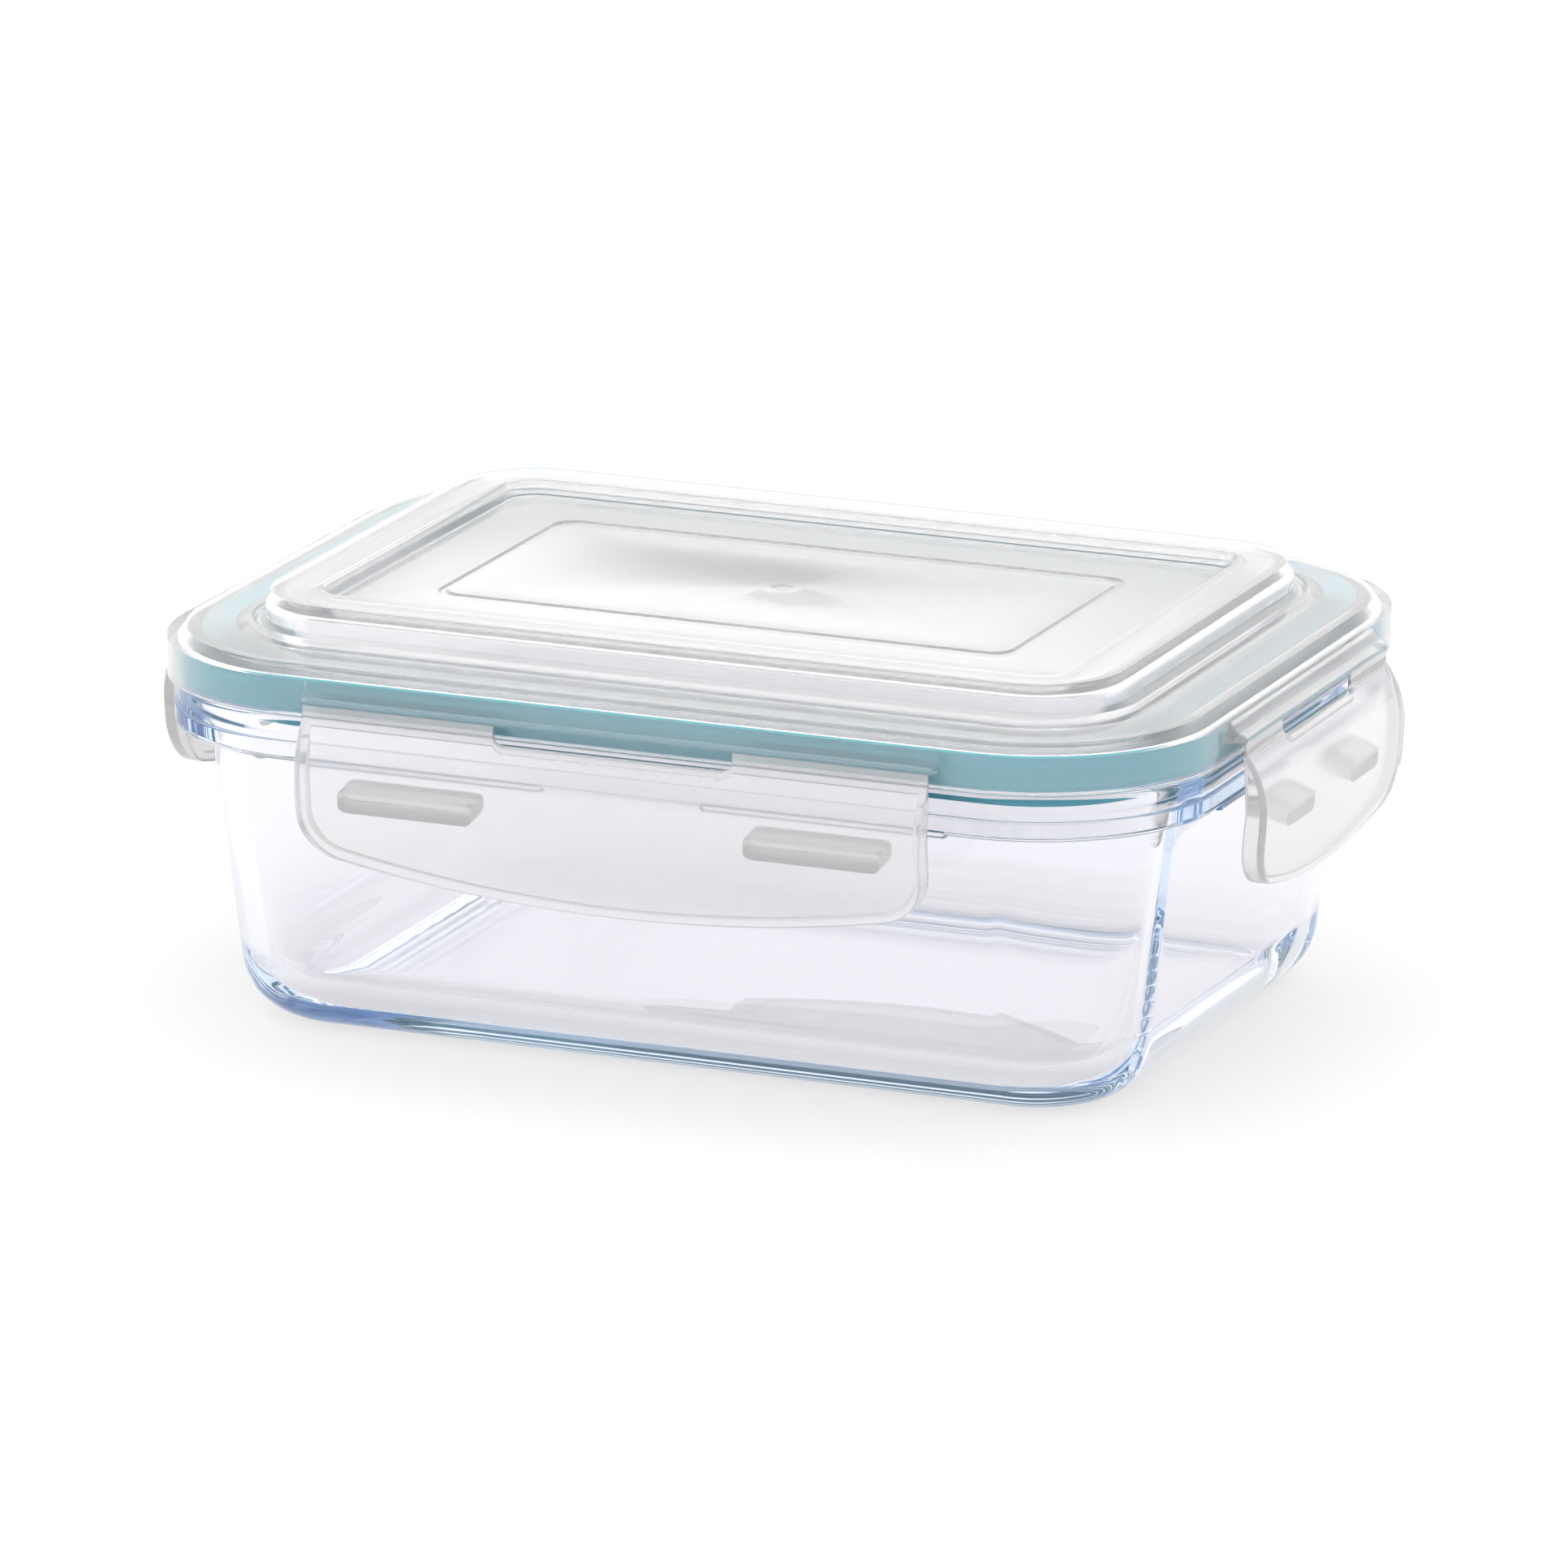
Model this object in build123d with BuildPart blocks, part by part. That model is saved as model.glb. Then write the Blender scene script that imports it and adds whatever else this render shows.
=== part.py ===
from build123d import *
import os

# Glass food storage container with a lid that locks on four sides.
# Millimetres, +Z up, origin at the centre of the foot, long side along X, front towards -Y.

# ---- driving dimensions ------------------------------------------------------------------
# Plan sizes are given as insets from the hinge rectangle, the plan rectangle through the four hinge lines.
HINGE_X = 90.0            # half length of the hinge rectangle
HINGE_Y = 66.5            # half width of the hinge rectangle
HINGE_CORNER = 32.5       # corner radius of the hinge rectangle, so an inset of i has a radius of this less i

# glass tray
WALL_FOOT = 15.1          # inset of the drafted outer wall at the foot
WALL_TOP = 8.2            # inset of the drafted outer wall at the rim
WALL = 4.2                # wall thickness
FLOOR = 5.0               # floor thickness
FOOT_ROUND = 10.0
FLOOR_ROUND = 8.0
FLANGE_BOTTOM = 47.4
FLANGE_STEP = 50.6
RIM_TOP = 55.4
FLANGE_LOW_INSET = 3.8    # lower band of the flange
FLANGE_HIGH_INSET = 4.3   # upper band of the flange
CATCH_BOTTOM = 46.9       # catch bars under the flange
CATCH_HEIGHT = 1.2
CATCH_INSET = 3.5
CATCH_ROOT = 6.5          # inset at which a catch bar starts, inside the flange
RIM_OUTER_ROUND = 2.0
RIM_INNER_ROUND = 1.8
FLANGE_STEP_ROUND = 0.4
FLANGE_EDGE_ROUND = 1.0
FLANGE_COVE = 1.5         # where the wall meets the flange's underside

# lid
SKIN = 1.6
SKIRT_INSET = 2.7
SKIRT_BOTTOM = 54.6
SHOULDER_TOP = 62.6
RIDGE_OUTER = 16.5
RIDGE_INNER = 27.5
RIDGE_TOP = 68.2
PANEL_TOP = 66.0
PLUG_INSET = 13.9
PLUG_BOTTOM = 51.0
FRAME_INSET = 41.1        # fine frame line pressed into the panel
FRAME_LINE = 0.7          # its width
FRAME_CORNER = 3.5
PRESSED = 0.35            # depth of the frame line and the gate dimple
GATE_RADIUS = 2.2         # dimple at the moulding gate
RIDGE_DRAFT = 0.9         # how far the ridge's inner wall leans in down to the panel
SHOULDER_ROUND = 3.0
RIDGE_OUTER_ROUND = 2.4
RIDGE_INNER_ROUND = 1.2
TAB_BOTTOM = 57.8
TAB_ROOT = 3.6            # inset at which a hinge tab starts, inside the skirt

# seal ring
SEAL_OUTER = 4.4
SEAL_INNER = 13.85        # against the lid's plug wall
SEAL_TOP = SHOULDER_TOP - SKIN - 0.05
SEAL_BODY_BOTTOM = 57.0
SEAL_LEG_BOTTOM = 55.3
SEAL_LIP_BOTTOM = 55.7
SEAL_LEG = 0.6            # thickness of the leg outside the rim
SEAL_LIP = 1.2            # thickness of each lip that presses on the rim
SEAL_LIPS = (7.4, 9.4)    # insets of the lips
SEAL_SKIRT_INSET = 13.25  # thin skirt that hangs between the plug wall and the tray's inner wall
SEAL_SKIRT_BOTTOM = 51.1
SEAL_ROUND = 2.4          # of its upper outer edge

# latches
PLATE = 1.5               # thickness of the flap's plate
RIM = 1.6                 # width of the flap's turned-in rim
LATCH_TOP = 56.0
WINDOW_BOTTOM = 54.9
FLAP_CORNER = 8.0
HOOK_TIP = -3.2           # outward position of the hook tips, with the flap hanging
HOOK_TOP = 46.1
HINGE_WEB = (-0.7, -0.1)  # inner and outer face of the hinge webs

# Sizes of a long and a short side: half width of the flap, half width of its window, where its hooks and the
# tray's catch bars start and end, the flap's lowest point, and how much its lower edge rises to the corners.
# Each side's plane has x along the hinge, y up and z outwards, and stands in the hinge plane.
LONG_SIDE = dict(half=52.2, window=19.8, hook=(22.7, 45.2), catch=(13.1, 53.6), low=29.6, bow=5.9)
SHORT_SIDE = dict(half=30.3, window=14.5, hook=(7.8, 19.8), catch=(5.0, 31.6), low=31.0, bow=4.8)
SIDES = {
    "front": (Plane((0, -HINGE_Y, 0), x_dir=(1, 0, 0), z_dir=(0, -1, 0)), LONG_SIDE),
    "back": (Plane((0, HINGE_Y, 0), x_dir=(-1, 0, 0), z_dir=(0, 1, 0)), LONG_SIDE),
    "left": (Plane((-HINGE_X, 0, 0), x_dir=(0, -1, 0), z_dir=(-1, 0, 0)), SHORT_SIDE),
    "right": (Plane((HINGE_X, 0, 0), x_dir=(0, 1, 0), z_dir=(1, 0, 0)), SHORT_SIDE),
}


def outline(inset):
    """Rounded rectangle that lies inside the hinge rectangle by the inset."""
    return RectangleRounded(2 * (HINGE_X - inset), 2 * (HINGE_Y - inset), HINGE_CORNER - inset)


def section_plane(side):
    """Plane across a side: x is outward from the hinge plane, y is up."""
    return Plane(side.origin, x_dir=side.z_dir, z_dir=-side.x_dir)


def level(inset, height, hole=None):
    """Rounded-rectangle face at a height, with a smaller one cut out of it if a hole is given."""
    with BuildSketch(Plane.XY.offset(height)) as face:
        outline(inset)
        if hole is not None:
            RectangleRounded(
                2 * (HINGE_X - hole), 2 * (HINGE_Y - hole), HINGE_CORNER - hole, mode=Mode.SUBTRACT
            )
    return face.sketch


def slab(inset, bottom, top, hole=None, mode=Mode.ADD):
    """Slab or ring between two heights, in the part being built."""
    extrude(level(inset, bottom, hole), amount=top - bottom, mode=mode)


def drafted(inset_low, low, inset_high, high, mode=Mode.ADD):
    """Block with drafted walls, in the part being built."""
    loft([level(inset_low, low), level(inset_high, high)], ruled=True, mode=mode)


def wall_inset(height):
    """Inset of the tray's drafted outer wall at a height."""
    return WALL_FOOT + (WALL_TOP - WALL_FOOT) * height / RIM_TOP


def edges_at(part, height):
    """Edges of the part being built that lie flat at a height."""
    flat = part.edges().filter_by(lambda e: abs(e.bounding_box().size.Z) < 1e-4)
    return flat.filter_by(lambda e: abs(e.center().Z - height) < 1e-3)


def outer_edges(edges, inset):
    """Of flat edges, those on the rounded rectangle of an inset."""
    half_x = HINGE_X - inset
    half_y = HINGE_Y - inset
    corner = HINGE_CORNER - inset

    def on_outline(edge):
        point = edge @ 0.5
        over_x = abs(point.X) - (half_x - corner)
        over_y = abs(point.Y) - (half_y - corner)
        if over_x > 0 and over_y > 0:
            return abs((over_x**2 + over_y**2) ** 0.5 - corner) < 0.05
        return abs(over_x - corner) < 0.05 or abs(over_y - corner) < 0.05

    return edges.filter_by(on_outline)


# ---- glass tray --------------------------------------------------------------------------
with BuildPart() as glass:
    drafted(WALL_FOOT, 0, WALL_TOP, RIM_TOP)
    fillet(edges_at(glass, 0), FOOT_ROUND)
    slab(FLANGE_LOW_INSET, FLANGE_BOTTOM, FLANGE_STEP)
    slab(FLANGE_HIGH_INSET, FLANGE_STEP, RIM_TOP)
    drafted(wall_inset(FLOOR) + WALL, FLOOR, WALL_TOP + WALL, RIM_TOP, mode=Mode.SUBTRACT)
    fillet(edges_at(glass, FLOOR), FLOOR_ROUND)
    fillet(outer_edges(edges_at(glass, RIM_TOP), FLANGE_HIGH_INSET), RIM_OUTER_ROUND)
    fillet(outer_edges(edges_at(glass, RIM_TOP), WALL_TOP + WALL), RIM_INNER_ROUND)
    fillet(outer_edges(edges_at(glass, FLANGE_STEP), FLANGE_LOW_INSET), FLANGE_STEP_ROUND)
    fillet(outer_edges(edges_at(glass, FLANGE_BOTTOM), FLANGE_LOW_INSET), FLANGE_EDGE_ROUND)
    fillet(outer_edges(edges_at(glass, FLANGE_BOTTOM), wall_inset(FLANGE_BOTTOM)), FLANGE_COVE)
    for side, sizes in SIDES.values():
        near, far = sizes["catch"]
        bar_height = CATCH_BOTTOM + CATCH_HEIGHT / 2
        with BuildSketch(side.offset(-CATCH_ROOT)):
            with Locations(*[(sign * (near + far) / 2, bar_height) for sign in (-1, 1)]):
                SlotOverall(far - near, CATCH_HEIGHT)
        extrude(amount=CATCH_ROOT - CATCH_INSET)
glass.part.label = "glass_container"

# ---- lid ---------------------------------------------------------------------------------
with BuildPart() as lid:
    slab(SKIRT_INSET, SKIRT_BOTTOM, SHOULDER_TOP)
    fillet(edges_at(lid, SHOULDER_TOP), SHOULDER_ROUND)
    slab(RIDGE_OUTER, SHOULDER_TOP - SKIN, RIDGE_TOP)
    fillet(edges_at(lid, RIDGE_TOP), RIDGE_OUTER_ROUND)
    drafted(RIDGE_INNER + RIDGE_DRAFT, PANEL_TOP, RIDGE_INNER, RIDGE_TOP, mode=Mode.SUBTRACT)
    fillet(outer_edges(edges_at(lid, RIDGE_TOP), RIDGE_INNER), RIDGE_INNER_ROUND)
    # open the underside: seal channel, hollow ridge and the space under the panel
    slab(SKIRT_INSET + SKIN, SKIRT_BOTTOM, SHOULDER_TOP - SKIN, mode=Mode.SUBTRACT)
    slab(RIDGE_OUTER + SKIN, SHOULDER_TOP - SKIN, RIDGE_TOP - SKIN, mode=Mode.SUBTRACT)
    slab(RIDGE_INNER - SKIN, PANEL_TOP - SKIN, RIDGE_TOP - SKIN)
    drafted(RIDGE_INNER + RIDGE_DRAFT, PANEL_TOP, RIDGE_INNER, RIDGE_TOP, mode=Mode.SUBTRACT)
    # plug wall that stands in the mouth of the tray
    slab(PLUG_INSET, PLUG_BOTTOM, SHOULDER_TOP - SKIN + 0.2, hole=PLUG_INSET + SKIN)
    # fine frame line and the moulding gate's dimple in the panel
    frame_x = 2 * (HINGE_X - FRAME_INSET)
    frame_y = 2 * (HINGE_Y - FRAME_INSET)
    line = 2 * FRAME_LINE
    with BuildSketch(Plane.XY.offset(PANEL_TOP)):
        RectangleRounded(frame_x, frame_y, FRAME_CORNER)
        RectangleRounded(frame_x - line, frame_y - line, FRAME_CORNER - FRAME_LINE, mode=Mode.SUBTRACT)
        Circle(GATE_RADIUS)
    extrude(amount=-PRESSED, mode=Mode.SUBTRACT)
    # hinge tabs: wedges that carry the hinge lines out from the skirt
    for side, sizes in SIDES.values():
        with BuildSketch(section_plane(side)):
            with BuildLine():
                Polyline(
                    (-TAB_ROOT, TAB_BOTTOM),
                    (-0.2, TAB_BOTTOM),
                    (0.0, TAB_BOTTOM + 0.2),
                    (-0.4, TAB_BOTTOM + 1.0),
                    (-SKIRT_INSET - 0.2, SHOULDER_TOP - SKIN),
                    (-TAB_ROOT, SHOULDER_TOP - SKIN),
                    close=True,
                )
            make_face()
        extrude(amount=sizes["half"], both=True)
lid.part.label = "lid_shell"

# ---- seal ring ---------------------------------------------------------------------------
with BuildPart() as seal:
    slab(SEAL_OUTER, SEAL_BODY_BOTTOM, SEAL_TOP, hole=SEAL_INNER)
    slab(SEAL_OUTER, SEAL_LEG_BOTTOM, SEAL_BODY_BOTTOM, hole=SEAL_OUTER + SEAL_LEG)
    for lip in SEAL_LIPS:
        slab(lip, SEAL_LIP_BOTTOM, SEAL_BODY_BOTTOM, hole=lip + SEAL_LIP)
    slab(SEAL_SKIRT_INSET, SEAL_SKIRT_BOTTOM, SEAL_BODY_BOTTOM, hole=SEAL_INNER)
    fillet(outer_edges(edges_at(seal, SEAL_TOP), SEAL_OUTER), SEAL_ROUND)
seal.part.label = "seal_gasket"


# ---- latches -----------------------------------------------------------------------------
def flap_section(across, shift, inner_points):
    """Side profile of a flap between its bulged outer face, moved inwards by the shift, and inner points."""
    with BuildSketch(across) as profile:
        with BuildLine():
            upper = ThreePointArc((-0.15 - shift, LATCH_TOP), (1.9 - shift, 52.6), (3.2 - shift, 47.0))
            lower = ThreePointArc(upper @ 1, (2.5 - shift, 38.5), (0.2 - shift, 28.0))
            Polyline(lower @ 1, *inner_points, upper @ 0)
        make_face()
    return profile.sketch


def flap_face(side, sizes, shrink):
    """Front outline of a flap on its side's plane: square top, rounded lower corners, bowed lower edge."""
    half = sizes["half"] - shrink
    low = sizes["low"] + shrink
    with BuildSketch(side) as face:
        with BuildLine():
            bow = ThreePointArc((-half, low + sizes["bow"]), (0, low), (half, low + sizes["bow"]))
            Polyline(bow @ 1, (half, LATCH_TOP - shrink), (-half, LATCH_TOP - shrink), bow @ 0)
        make_face()
        fillet(face.vertices().sort_by(Axis.Y)[:2], FLAP_CORNER - shrink)
    return face.sketch


def make_latch(side, sizes):
    """One flap: plate with a turned-in rim, two hooks, and the window between its hinge webs."""
    across = section_plane(side)
    half = sizes["half"]
    near, far = sizes["hook"]
    with BuildPart() as hollow:
        extrude(flap_section(across, PLATE, [(-8, 28), (-8, LATCH_TOP)]), amount=half, both=True)
        extrude(flap_face(side, sizes, RIM), amount=12, both=True, mode=Mode.INTERSECT)
    with BuildPart() as latch:
        inner_face = [(-1.7, 28), (-1.1, 38.2), (-0.3, 47.0), (-0.65, LATCH_TOP)]
        extrude(flap_section(across, 0, inner_face), amount=half, both=True)
        extrude(flap_face(side, sizes, 0), amount=12, both=True, mode=Mode.INTERSECT)
        add(hollow.part, mode=Mode.SUBTRACT)
        for middle in (-(near + far) / 2, (near + far) / 2):
            with BuildSketch(across.offset(middle)) as hook:
                Polygon(
                    (2.2, HOOK_TOP - 4.1),
                    (2.2, HOOK_TOP - 1.0),
                    (HOOK_TIP + 0.9, HOOK_TOP),
                    (HOOK_TIP, HOOK_TOP),
                    (HOOK_TIP, HOOK_TOP - 2.6),
                    (HOOK_TIP + 0.6, HOOK_TOP - 3.2),
                    align=None,
                )
            extrude(hook.sketch, amount=(far - near) / 2, both=True)
        with BuildSketch(side) as window:
            Polygon(
                (-sizes["window"], LATCH_TOP + 1),
                (-sizes["window"] + 2.3, WINDOW_BOTTOM),
                (sizes["window"] - 2.3, WINDOW_BOTTOM),
                (sizes["window"], LATCH_TOP + 1),
                align=None,
            )
        extrude(window.sketch, amount=12, both=True, mode=Mode.SUBTRACT)
    return latch.part


def make_web(side, sizes, sign):
    """One living-hinge web between the lid's tab and the flap, thinned half way up."""
    across = section_plane(side)
    inner, outer = HINGE_WEB
    waist = (LATCH_TOP + TAB_BOTTOM) / 2
    middle = (sizes["half"] + sizes["window"]) / 2
    with BuildPart() as web:
        with BuildSketch(across.offset(-sign * middle)):
            with BuildLine():
                ThreePointArc((inner, LATCH_TOP), (inner + 0.12, waist), (inner, TAB_BOTTOM))
                Line((inner, TAB_BOTTOM), (outer, TAB_BOTTOM))
                ThreePointArc((outer, TAB_BOTTOM), (outer - 0.12, waist), (outer, LATCH_TOP))
                Line((outer, LATCH_TOP), (inner, LATCH_TOP))
            make_face()
        extrude(amount=(sizes["half"] - sizes["window"]) / 2, both=True)
    return web.part


pieces = [glass.part, lid.part, seal.part]
for name, (side, sizes) in SIDES.items():
    latch = make_latch(side, sizes)
    latch.label = f"{name}_latch"
    pieces.append(latch)
    for end, sign in (("left", -1), ("right", 1)):
        web = make_web(side, sizes, sign)
        web.label = f"{name}_hinge_{end}"
        pieces.append(web)

# ---- one file per piece ------------------------------------------------------------------
os.makedirs("parts", exist_ok=True)
for piece in pieces:
    export_step(piece, f"parts/{piece.label}.step")
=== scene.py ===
import math

import bmesh
import bpy
import numpy as np
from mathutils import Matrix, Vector


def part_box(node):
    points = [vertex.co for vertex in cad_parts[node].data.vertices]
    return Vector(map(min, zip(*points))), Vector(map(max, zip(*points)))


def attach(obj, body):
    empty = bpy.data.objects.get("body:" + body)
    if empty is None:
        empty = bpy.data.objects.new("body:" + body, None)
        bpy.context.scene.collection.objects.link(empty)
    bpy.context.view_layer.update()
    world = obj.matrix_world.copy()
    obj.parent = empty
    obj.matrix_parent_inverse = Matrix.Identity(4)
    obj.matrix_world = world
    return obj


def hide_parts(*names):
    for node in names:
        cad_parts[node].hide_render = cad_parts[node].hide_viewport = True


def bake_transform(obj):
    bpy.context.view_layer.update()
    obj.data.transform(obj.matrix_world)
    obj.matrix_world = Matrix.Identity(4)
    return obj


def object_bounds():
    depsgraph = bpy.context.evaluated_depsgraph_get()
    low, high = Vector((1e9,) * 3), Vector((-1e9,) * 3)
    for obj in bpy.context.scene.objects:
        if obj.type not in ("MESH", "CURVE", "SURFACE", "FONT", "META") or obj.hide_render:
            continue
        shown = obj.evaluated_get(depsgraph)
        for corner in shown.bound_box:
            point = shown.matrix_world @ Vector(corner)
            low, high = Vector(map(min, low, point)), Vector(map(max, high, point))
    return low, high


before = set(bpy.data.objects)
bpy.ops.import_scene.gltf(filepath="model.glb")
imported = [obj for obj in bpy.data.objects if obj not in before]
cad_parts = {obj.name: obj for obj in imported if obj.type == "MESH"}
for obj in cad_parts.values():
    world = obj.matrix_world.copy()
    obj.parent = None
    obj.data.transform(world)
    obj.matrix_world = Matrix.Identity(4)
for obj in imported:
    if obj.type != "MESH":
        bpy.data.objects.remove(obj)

# Looks of a glass food container with a four-latch lid. Metres, +Z up, front towards -Y.
# A profile is a list of (inset, height, corner radius). rounded() turns it into rows, and sweep() carries the
# rows round the outline.
# Plan sizes are insets from the hinge rectangle, the plan rectangle through the four hinge lines.
MM = 0.001
cad_low, cad_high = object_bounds()
glass_low, glass_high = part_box("glass_container")
lid_low, lid_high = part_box("lid_shell")
seal_low, seal_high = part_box("seal_gasket")
front_low, front_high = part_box("front_latch")
right_low, right_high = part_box("right_latch")

# ---- places taken from the frame ---------------------------------------------------------
HINGE_X = lid_high.x                 # the lid's tabs reach the hinge rectangle
HINGE_Y = lid_high.y
HINGE_CORNER = 32.5 * MM
FOOT_Z = glass_low.z
RIM_TOP = glass_high.z
LID_TOP = lid_high.z
PLUG_BOTTOM = lid_low.z
SEAL_TOP = seal_high.z
LATCH_TOP = front_high.z

# ---- glass tray --------------------------------------------------------------------------
WALL_FOOT = 15.1 * MM
WALL_TOP = 8.2 * MM
WALL = 4.2 * MM
FLOOR_Z = FOOT_Z + 5.0 * MM
FLANGE_BOTTOM = RIM_TOP - 8.0 * MM
FLANGE_STEP = RIM_TOP - 4.8 * MM
FLANGE_LOW_INSET = 3.8 * MM
FLANGE_HIGH_INSET = 4.3 * MM
CATCH_DROP = 0.5 * MM                # how far a catch bar hangs below the flange
CATCH_PROUD = 0.3 * MM
PUSH_UP = 0.7 * MM                   # the base is hollowed inside its standing ring
RING_OUTER = 26.5 * MM               # insets between which the standing ring slopes up to the hollow
RING_INNER = 29.5 * MM
FOOT_ROUND = 10.0 * MM
FLOOR_ROUND = 8.0 * MM
RIM_OUTER_ROUND = 2.0 * MM
RIM_INNER_ROUND = 1.8 * MM
FLANGE_ROUND = 0.6 * MM              # lower outer edge of the flange
COVE_END = 6.2 * MM                  # inset at which the cove under the flange ends
MIDDLE_INSET = 47 * MM               # innermost row of a sweep, closed by a flat face

# ---- lid ---------------------------------------------------------------------------------
SKIN = 1.6 * MM
SKIRT_INSET = 2.7 * MM
SKIRT_BOTTOM = LID_TOP - 13.6 * MM
SHOULDER_TOP = LID_TOP - 5.6 * MM
RIDGE_OUTER = 16.5 * MM
RIDGE_INNER = 27.5 * MM
PANEL_TOP = LID_TOP - 2.2 * MM
PLUG_INSET = 13.9 * MM
FRAME_INSET = 41.1 * MM
FRAME_GROOVE = 1.3 * MM
PANEL_CORNER = 3.5 * MM
TAB_BOTTOM = LID_TOP - 10.4 * MM
SHOULDER_ROUND = 3.0 * MM
RIDGE_OUTER_ROUND = 2.4 * MM
RIDGE_INNER_ROUND = 1.2 * MM
RIDGE_DRAFT = 0.9 * MM
GROOVE_DEPTH = 0.3 * MM
GROOVE_SLOPE = 0.35 * MM             # width of each sloping side of the frame line
EDGE_ROUND = 0.35 * MM               # lower edges of the skirt
# round gate mark in the panel: radius and height above the panel, millimetres
GATE_ROWS = (
    (0.8, -0.35), (1.45, -0.35), (1.6, -0.3), (1.7, -0.16),
    (1.85, -0.12), (3.6, -0.12), (3.8, -0.09), (4.0, 0.0),
)
# hinge tab: height above its underside and how far it stands out from the skirt, millimetres
TAB_ROWS = ((1.6, 0.9), (1.0, 2.3), (0.5, 2.62), (0.2, 2.7), (0.06, 2.66), (0.0, 2.5))
TAB_HEIGHT = 3.2 * MM

# ---- seal ring ---------------------------------------------------------------------------
SEAL_ROUND = 2.4 * MM                # its upper outer edge
SEAL_BODY = RIM_TOP + 1.6 * MM       # underside of the body
SEAL_LIP = RIM_TOP + 0.3 * MM        # tips of the two lips
SEAL_LEG = RIM_TOP - 0.1 * MM        # bottom of the outer leg
SEAL_LEG_WIDTH = 0.6 * MM
SEAL_SKIRT_WIDTH = 0.6 * MM
SEAL_LIPS = (9.4 * MM, 7.4 * MM)     # outer insets of the lips

# ---- latches -----------------------------------------------------------------------------
PLATE = 1.5 * MM
RIM = 1.6 * MM
FLAP_CORNER = 8.0 * MM
WINDOW_BOTTOM = LATCH_TOP - 1.1 * MM
WINDOW_SCOOP = 2.3 * MM
HOOK_TIP = -3.2 * MM
HOOK_TOP = LATCH_TOP - 9.9 * MM
HOOK_CHAMFER = 1.1 * MM
HOOK_GAP = 0.02 * MM                 # between a hook's root and the plate
# bulge of a flap: (outward, height) in millimetres, with heights that put the flap's top at BULGE_TOP
BULGE_TOP = 56.0
BULGE_JOIN = 47.0
UPPER_ARC = ((-0.15, BULGE_TOP), (1.9, 52.6), (3.2, BULGE_JOIN))
LOWER_ARC = ((3.2, BULGE_JOIN), (2.5, 38.5), (0.2, 28.0))
# inner edge of a flap's rim: millimetres below the flap's top, and outward
RIM_DEPTHS = (0, 9.0, 17.8, 28.0)
RIM_OUTWARDS = (-0.65, -0.3, -1.1, -1.7)
LONG_SIDE = dict(
    half=front_high.x, window=19.8 * MM, hook=(22.7 * MM, 45.2 * MM), catch=(13.1 * MM, 53.6 * MM),
    low=front_low.z, bow=5.9 * MM,
)
SHORT_SIDE = dict(
    half=right_high.y, window=14.5 * MM, hook=(7.8 * MM, 19.8 * MM), catch=(5.0 * MM, 31.6 * MM),
    low=right_low.z, bow=4.8 * MM,
)
# name: hinge line's middle, direction along the hinge, outward direction, sizes
SIDES = {
    "front": ((0, -HINGE_Y), (1, 0), (0, -1), LONG_SIDE),
    "right": ((HINGE_X, 0), (0, 1), (1, 0), SHORT_SIDE),
    "back": ((0, HINGE_Y), (-1, 0), (0, 1), LONG_SIDE),
    "left": ((-HINGE_X, 0), (0, -1), (-1, 0), SHORT_SIDE),
}
SHARP_ANGLE = math.radians(38)


# ---- mesh helpers ------------------------------------------------------------------------
def make_object(name, verts, faces):
    """Closed mesh with outward normals, smooth but for its sharp edges."""
    mesh = bpy.data.meshes.new(name)
    mesh.from_pydata([tuple(v) for v in verts], [], faces)
    work = bmesh.new()
    work.from_mesh(mesh)
    bmesh.ops.remove_doubles(work, verts=work.verts, dist=0.002 * MM)
    bmesh.ops.recalc_face_normals(work, faces=work.faces)
    for face in work.faces:
        face.smooth = True
    for edge in work.edges:
        edge.smooth = len(edge.link_faces) == 2 and edge.calc_face_angle(0) < SHARP_ANGLE
    work.to_mesh(mesh)
    work.free()
    obj = bpy.data.objects.new(name, mesh)
    bpy.context.scene.collection.objects.link(obj)
    return obj


def rounded(points, step=10):
    """Polyline (inset, height, radius) with each corner turned into an arc of its radius."""
    path = []
    for i, (x, z, radius) in enumerate(points):
        here = np.array([x, z])
        if radius == 0 or i in (0, len(points) - 1):
            path.append(here)
            continue
        before = np.array(points[i - 1][:2]) - here
        after = np.array(points[i + 1][:2]) - here
        before /= np.linalg.norm(before)
        after /= np.linalg.norm(after)
        half = math.acos(np.clip(before @ after, -1, 1)) / 2
        centre = here + (before + after) / np.linalg.norm(before + after) * radius / math.sin(half)
        start = here + before * radius / math.tan(half) - centre
        turn = math.pi - 2 * half
        sign = math.copysign(1, start[0] * after[1] - start[1] * after[0])
        count = max(2, math.ceil(math.degrees(turn) / step))
        for k in range(count + 1):
            a = sign * turn * k / count
            c, s = math.cos(a), math.sin(a)
            path.append(centre + np.array([start[0] * c - start[1] * s, start[0] * s + start[1] * c]))
    return path


# ---- columns: the places round the plan outline where every swept piece has a vertex -----
CORNER_STEPS = 32
PILL = 0.6 * MM                      # radius of a catch bar's rounded ends
TAB_END = 1.5 * MM                   # length over which a tab fades into the skirt at each end


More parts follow.
